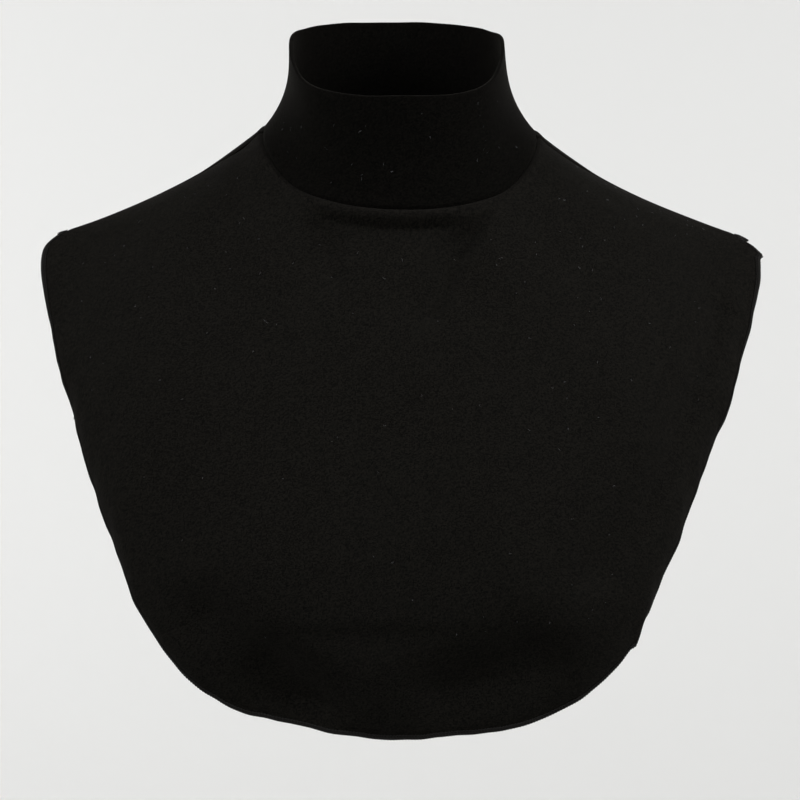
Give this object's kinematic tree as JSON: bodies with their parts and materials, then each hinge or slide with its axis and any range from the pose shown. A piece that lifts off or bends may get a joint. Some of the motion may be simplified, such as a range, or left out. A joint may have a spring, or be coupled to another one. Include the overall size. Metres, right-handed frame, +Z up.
{
  "type": "neck cover",
  "caption": "Black jersey neck cover with a mock-neck collar on a rounded front and back bib with overlocked edges.",
  "frame": {"origin": "middle of the neck opening, level with the inner ends of the shoulder seams", "axes": "+X across the wearer towards the viewer's right, -Y towards the front, +Z up"},
  "size_m": [0.3794, 0.235, 0.3524],
  "materials": {
    "jersey": "matte fine knit with a soft sheen",
    "overlock_thread": "matte textured polyester thread"
  },
  "bodies": {
    "root": {"collar_band": "jersey", "front_bib": "jersey", "back_bib": "jersey", "neck_seam_allowance": "overlock_thread", "shoulder_seam_allowance_left": "overlock_thread", "shoulder_seam_allowance_right": "overlock_thread", "front_overlock": "overlock_thread", "back_overlock": "overlock_thread"}
  },
  "joints": []
}
